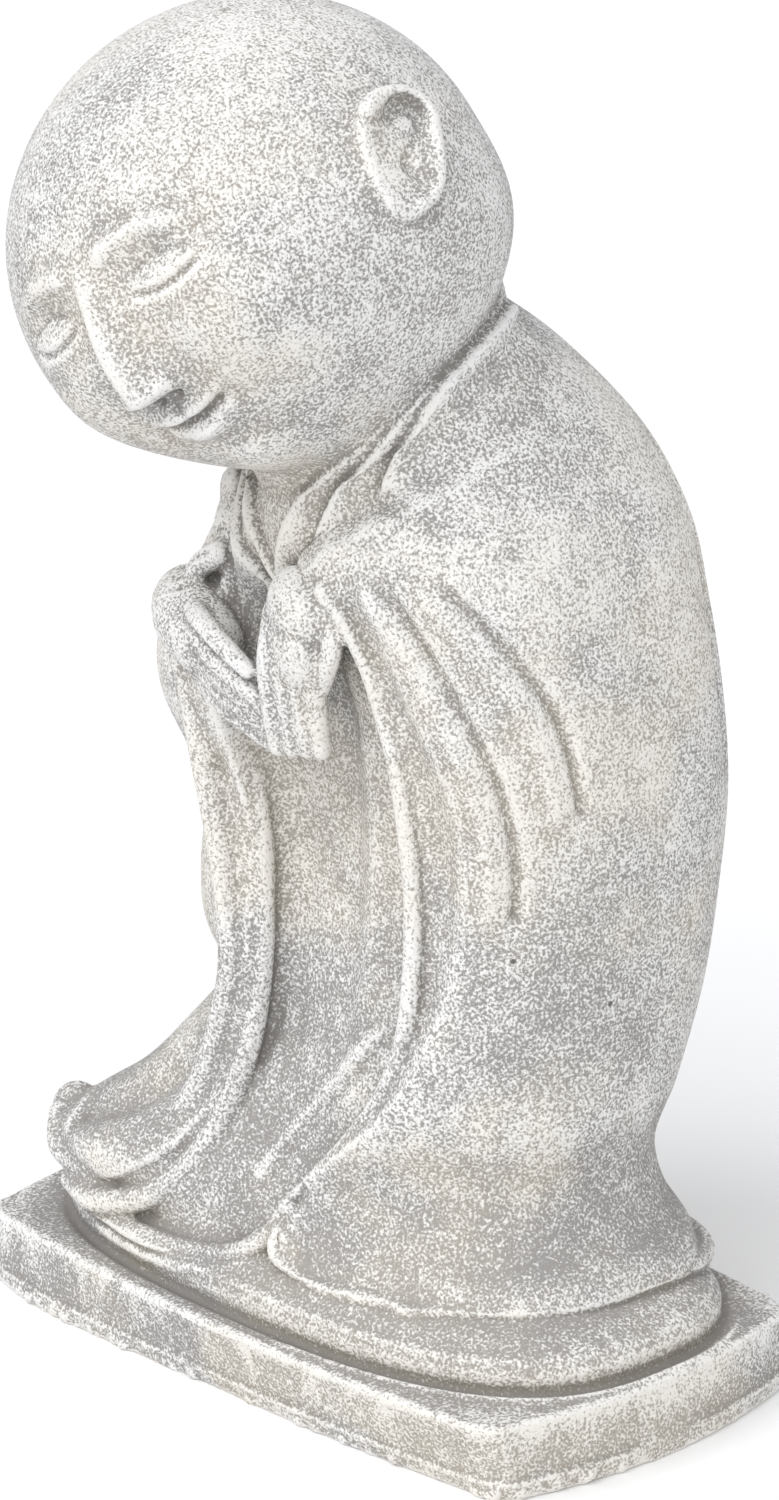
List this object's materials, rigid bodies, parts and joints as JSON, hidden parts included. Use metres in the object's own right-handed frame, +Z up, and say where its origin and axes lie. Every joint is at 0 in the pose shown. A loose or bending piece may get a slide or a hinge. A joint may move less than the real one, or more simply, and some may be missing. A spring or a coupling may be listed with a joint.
{
  "type": "garden statue",
  "caption": "Cast stone statue of a standing robed monk with a tilted head and joined hands, on a low rectangular plinth.",
  "frame": {"origin": "centre of the plinth's flat underside", "axes": "+Z up, the figure faces -Y, its left side is at +X"},
  "size_m": [0.227, 0.1797, 0.3777],
  "materials": {
    "cast_stone": "matt, sandy, weathered"
  },
  "bodies": {
    "root": {"monk_statue": "cast_stone"}
  },
  "joints": []
}
